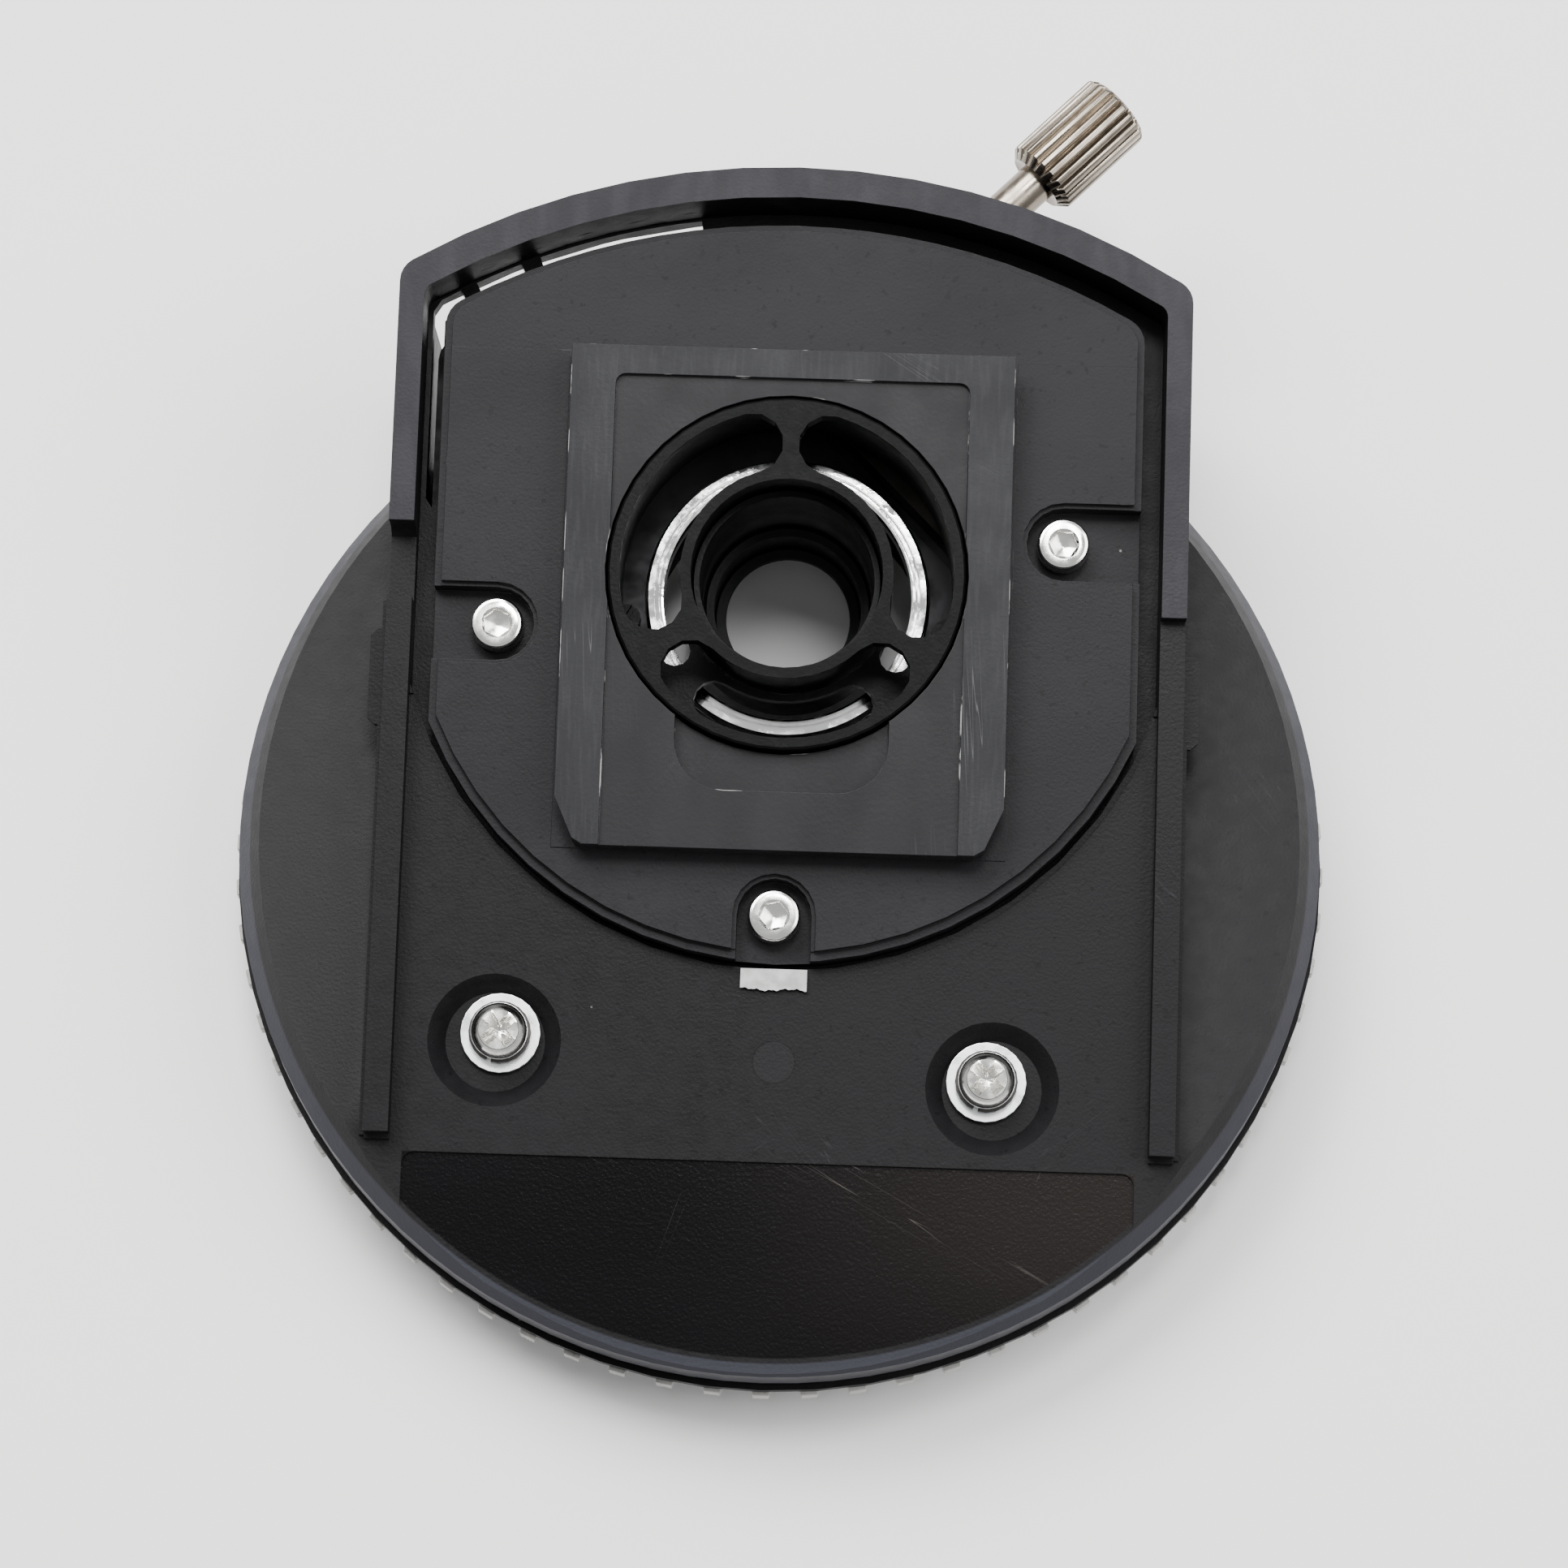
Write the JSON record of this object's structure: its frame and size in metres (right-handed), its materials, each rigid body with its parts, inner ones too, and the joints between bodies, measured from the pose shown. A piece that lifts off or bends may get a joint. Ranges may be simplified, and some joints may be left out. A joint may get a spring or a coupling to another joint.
{
  "type": "rotary table",
  "caption": "Round turning table under a sloping black housing with a dovetail mount, a light tube and a knurled clamp screw.",
  "frame": {"origin": "centre of the round table's flat outer face, which it rests on, on the table's turning axis", "axes": "+Z out of the round table towards the dovetail mount, +Y from the table's axis towards the housing's overhanging end, +X to the right with the overhanging end away"},
  "size_m": [0.132, 0.1609, 0.0411],
  "materials": {
    "black_moulding": "satin moulded, scuffed",
    "plate_moulding": "satin moulded, scuffed",
    "anodised_block": "black anodised, rubbed",
    "screw_steel": "turned",
    "bright_ring": "polished",
    "nickel": "nickel plated, knurled",
    "frame_alloy": "cast, machined",
    "bronze": "sintered",
    "table_moulding": "satin moulded",
    "grip_plastic": "glossy ribs",
    "strip": "matt, torn edge"
  },
  "bodies": {
    "housing": {"housing_cover": "black_moulding", "light_tube": "black_moulding", "tube_sleeve": "black_moulding", "window_plate": "black_moulding", "ring_screw_left": "black_moulding", "ring_screw_right": "black_moulding", "mount_plate": "plate_moulding", "dovetail_block": "anodised_block", "mount_screw_left": "screw_steel", "mount_screw_right": "screw_steel", "mount_screw_bottom": "screw_steel", "block_screw_1": "screw_steel", "block_screw_2": "screw_steel", "block_screw_3": "screw_steel", "block_screw_4": "screw_steel", "cover_screw_left": "screw_steel", "cover_screw_right": "screw_steel", "cover_lockwasher_left": "screw_steel", "cover_lockwasher_right": "screw_steel", "cover_washer_left": "screw_steel", "cover_washer_right": "screw_steel", "wave_washer": "screw_steel", "thrust_washer": "screw_steel", "detent_screw": "screw_steel", "chrome_ring": "bright_ring", "clamp_bush": "nickel", "support_frame": "frame_alloy", "hub_bush": "bronze", "strip_tab": "strip"},
    "table": {"table_disc": "table_moulding", "grip_ring": "grip_plastic", "pivot_axle": "screw_steel", "axle_nut": "screw_steel"},
    "clamp_shoe_body": {"clamp_shoe": "anodised_block"},
    "clamp_screw": {"clamp_knob": "nickel", "clamp_spindle": "nickel"},
    "detent": {"detent_ball": "screw_steel", "detent_spring": "screw_steel"}
  },
  "joints": [
    {"name": "table_turn", "type": "hinge", "parent": "housing", "child": "table", "pos_m": [0, 0, 0.0084], "axis": [0, 0, 1], "continuous": true},
    {"name": "clamp_slide", "type": "slide", "parent": "housing", "child": "clamp_shoe_body", "axis": [-0.7071, -0.7002, -0.0984], "range_m": [0, 0.0012]},
    {"name": "clamp_turn", "type": "hinge", "parent": "clamp_shoe_body", "child": "clamp_screw", "pos_m": [0.0288, 0.0821, 0.02761], "axis": [-0.7071, -0.7002, -0.0984], "range_deg": [0, 541]},
    {"name": "detent_lift", "type": "slide", "parent": "housing", "child": "detent", "axis": [0, 0, 1], "range_m": [0, 0.0006], "stiffness_N_per_m": 150, "deforming": ["detent_spring"]}
  ],
  "couplings": [
    {"joint": "clamp_turn", "follows": "clamp_slide", "rad_per_m": 7854}
  ]
}
